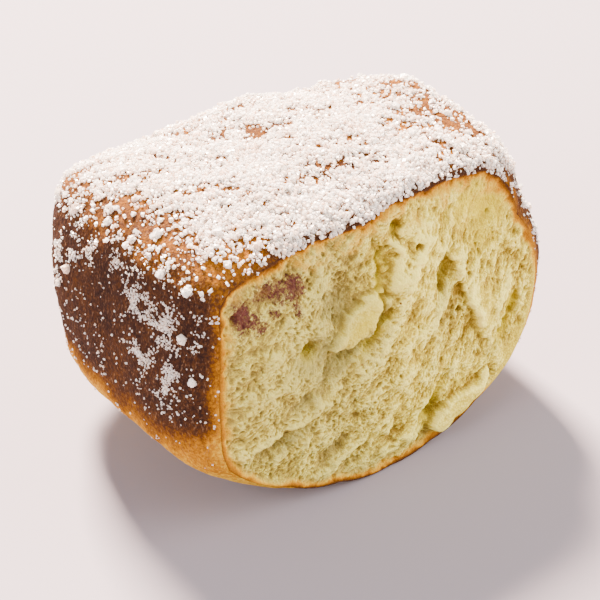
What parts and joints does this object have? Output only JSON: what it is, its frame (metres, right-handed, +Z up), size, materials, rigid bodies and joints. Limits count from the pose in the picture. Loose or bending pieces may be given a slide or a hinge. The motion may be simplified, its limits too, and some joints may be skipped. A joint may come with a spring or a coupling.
{
  "type": "yeast bun",
  "caption": "Sugared yeast bun pulled off its neighbours: flat pale top, browned baked sides, rounded base and one torn crumb face.",
  "frame": {"origin": "middle of the bun's box on the surface that it rests on", "axes": "+X along the torn face to the right as one looks at it, -Y out of the torn face, +Z up"},
  "size_m": [0.0936, 0.0722, 0.0639],
  "materials": {
    "bun": "matt browned crust"
  },
  "bodies": {
    "root": {"bun": "bun"}
  },
  "joints": []
}
